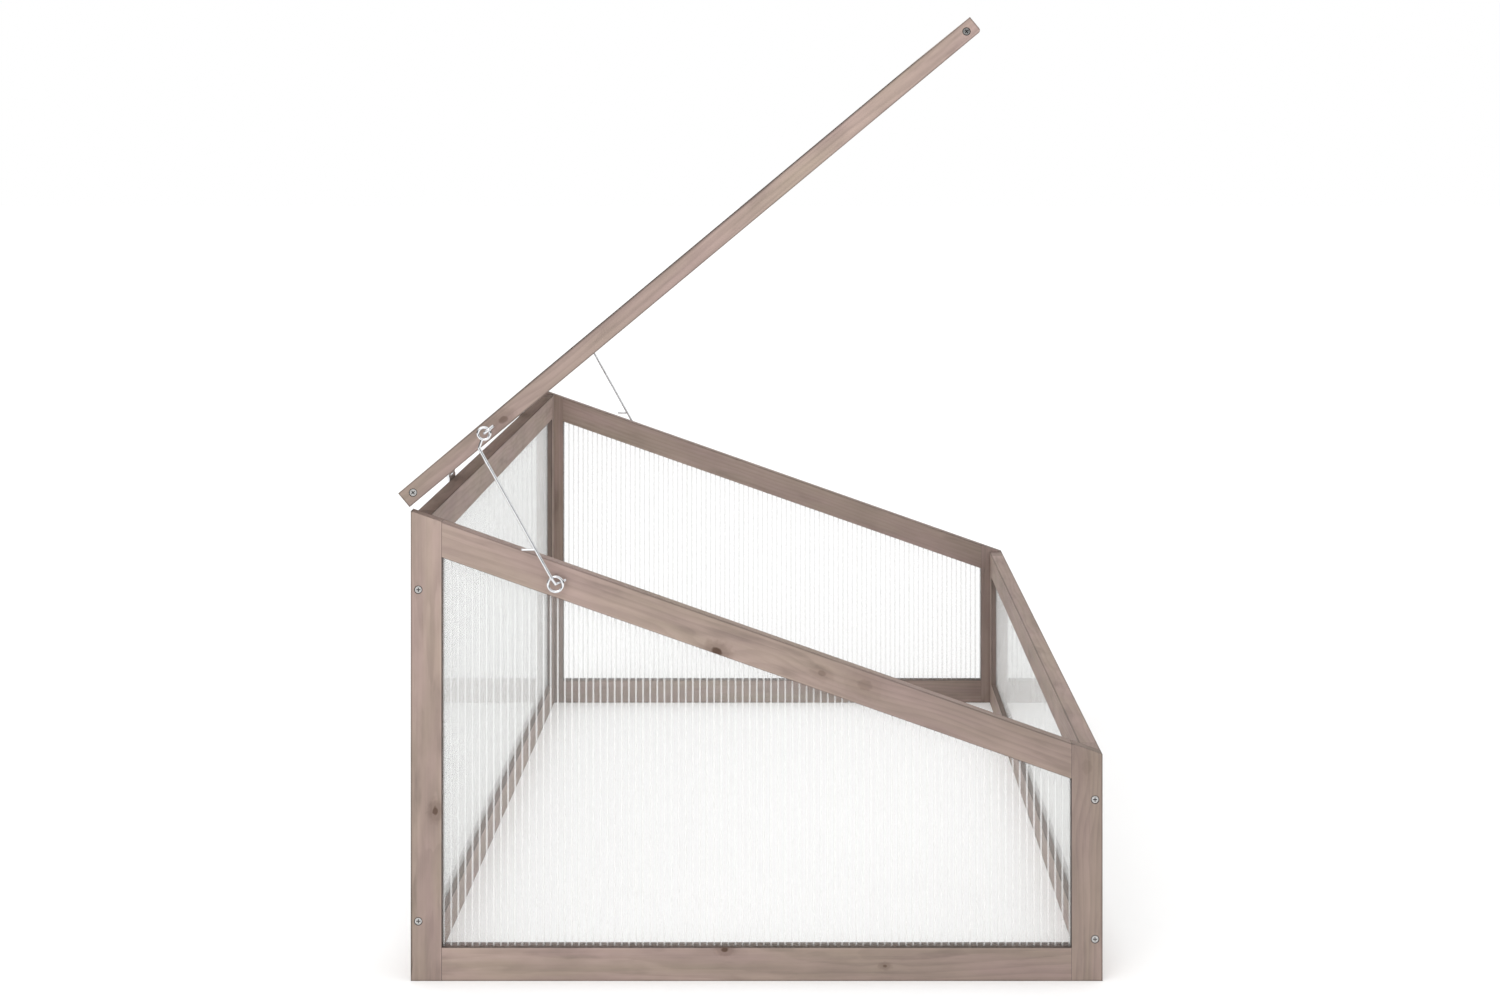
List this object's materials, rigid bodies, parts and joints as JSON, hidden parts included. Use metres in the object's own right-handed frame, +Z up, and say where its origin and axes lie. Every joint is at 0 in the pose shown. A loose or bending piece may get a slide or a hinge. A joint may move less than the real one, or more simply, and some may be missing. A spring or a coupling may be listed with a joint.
{
  "type": "cold frame",
  "caption": "Timber cold frame with clear twin-wall panels, a bottomless sloping box and a hinged lid held up by hook stays.",
  "frame": {"origin": "on the ground, at the middle of the frame's footprint", "axes": "+X along the length, +Y towards the tall rear wall and the hinges, +Z up"},
  "size_m": [1.1306, 0.5909, 0.8082],
  "materials": {
    "stained_fir": "grey-brown stained softwood, satin",
    "polycarbonate": "clear twin-wall sheet",
    "zinc": "bright zinc plate",
    "dark_zinc": "darkened zinc plate"
  },
  "bodies": {
    "frame": {"rear_post_left": "stained_fir", "rear_post_right": "stained_fir", "front_post_left": "stained_fir", "front_post_right": "stained_fir", "end_top_rail_left": "stained_fir", "end_top_rail_right": "stained_fir", "end_bottom_rail_left": "stained_fir", "end_bottom_rail_right": "stained_fir", "end_sheet_left": "polycarbonate", "end_sheet_right": "polycarbonate", "rear_stile_left": "stained_fir", "rear_stile_right": "stained_fir", "rear_top_rail": "stained_fir", "rear_bottom_rail": "stained_fir", "rear_sheet": "polycarbonate", "front_stile_left": "stained_fir", "front_stile_right": "stained_fir", "front_top_rail": "stained_fir", "front_bottom_rail": "stained_fir", "front_sheet": "polycarbonate", "corner_screws": "dark_zinc", "hinge_frame_leaf_left": "zinc", "hinge_frame_leaf_right": "zinc", "hinge_pin_left": "zinc", "hinge_pin_right": "zinc", "hinge_frame_screws": "zinc", "frame_eye_left": "zinc", "frame_eye_right": "zinc"},
    "lid": {"lid_side_rail_left": "stained_fir", "lid_side_rail_right": "stained_fir", "lid_rear_rail": "stained_fir", "lid_front_rail": "stained_fir", "lid_middle_bar": "stained_fir", "lid_sheet_left": "polycarbonate", "lid_sheet_right": "polycarbonate", "hinge_lid_leaf_left": "zinc", "hinge_lid_leaf_right": "zinc", "hinge_lid_screws": "zinc", "lid_corner_screws": "dark_zinc", "lid_bar_screws": "dark_zinc", "lid_eye_left": "zinc", "lid_eye_right": "zinc"},
    "stay_hook_left": {"stay_hook_left": "zinc"},
    "stay_hook_right": {"stay_hook_right": "zinc"}
  },
  "joints": [
    {"name": "lid_hinge", "type": "hinge", "parent": "frame", "child": "lid", "pos_m": [0, 0.2929, 0.39503], "axis": [-1, 0, 0], "range_deg": [-59.18, 60]},
    {"name": "stay_hook_left_swing", "type": "hinge", "parent": "lid", "child": "stay_hook_left", "pos_m": [-0.5604, 0.22726, 0.46012], "axis": [-1, 0, 0], "range_deg": [-90, 75]},
    {"name": "stay_hook_right_swing", "type": "hinge", "parent": "lid", "child": "stay_hook_right", "pos_m": [0.5604, 0.22726, 0.46012], "axis": [-1, 0, 0], "range_deg": [-90, 75]}
  ]
}
